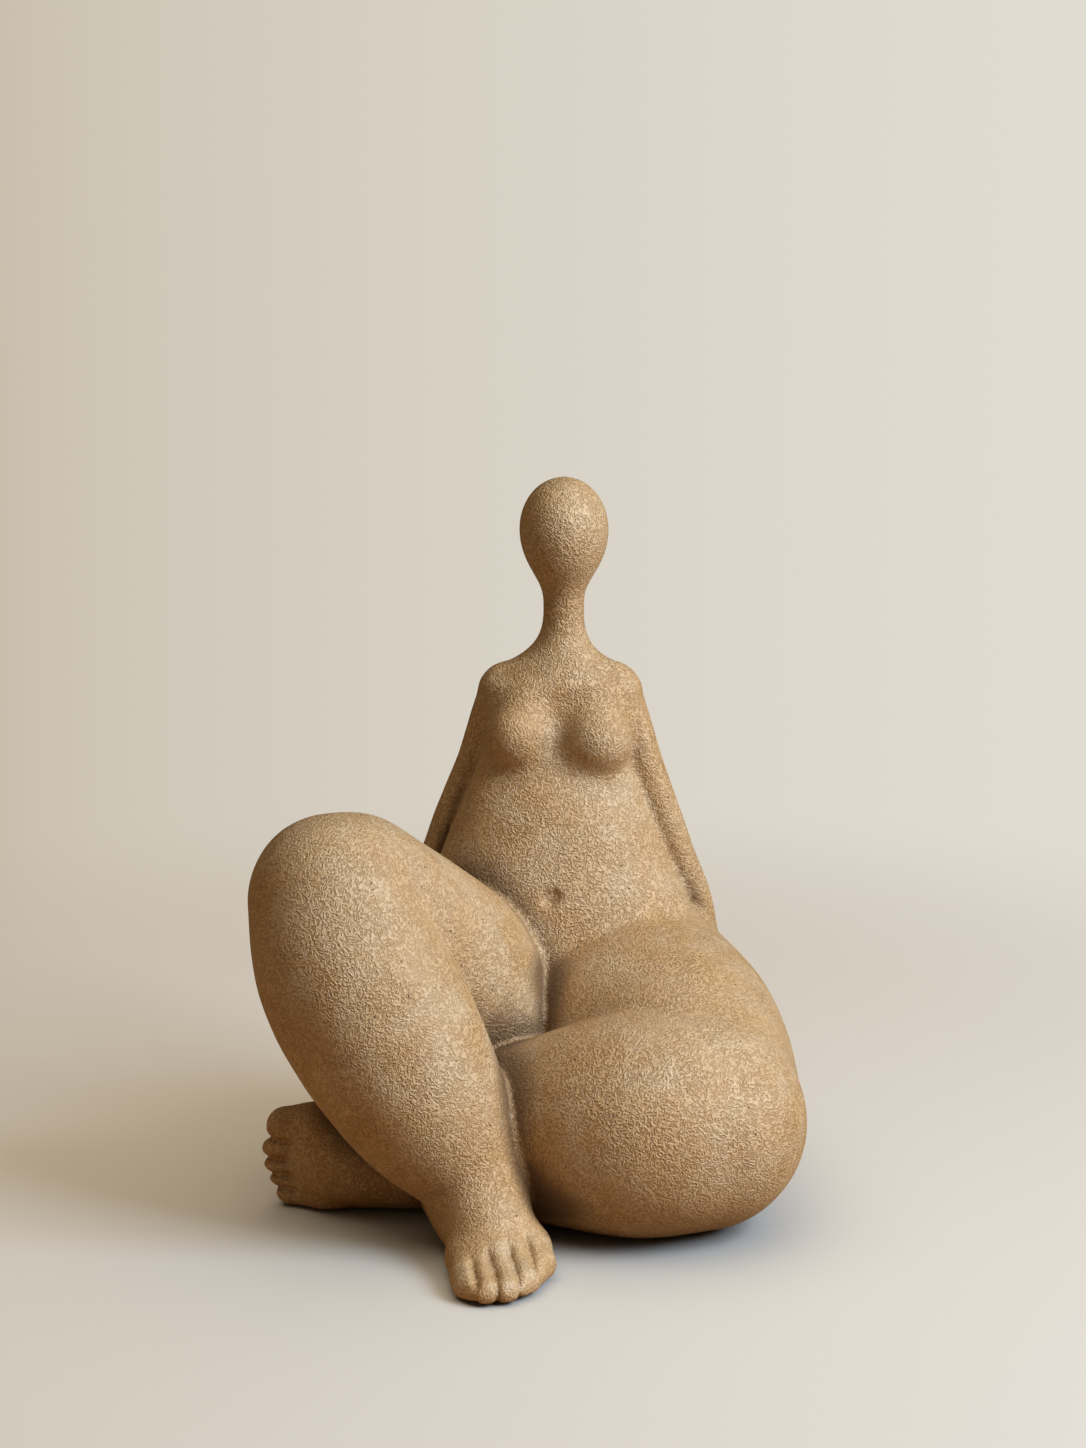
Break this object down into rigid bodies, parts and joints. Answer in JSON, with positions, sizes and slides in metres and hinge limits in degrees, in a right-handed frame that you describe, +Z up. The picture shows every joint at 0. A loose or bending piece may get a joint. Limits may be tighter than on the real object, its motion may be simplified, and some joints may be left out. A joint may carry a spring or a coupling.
{
  "type": "seated woman figurine",
  "caption": "Abstract seated woman cast in one piece, with a blank egg-shaped head, a slim neck and massive legs, one folded flat and one raised with its foot in front.",
  "frame": {"origin": "on the underside, at the middle of the figure's width and depth", "axes": "+Z up through the head, the figure faces -Y, and +X is the figure's own left side"},
  "size_m": [0.1944, 0.2313, 0.2524],
  "materials": {
    "cast_stone": "matt, fine worm-like grain in ochre and pale sand with sparse dark pores, softly rubbed on the high parts"
  },
  "bodies": {
    "root": {"figure": "cast_stone"}
  },
  "joints": []
}
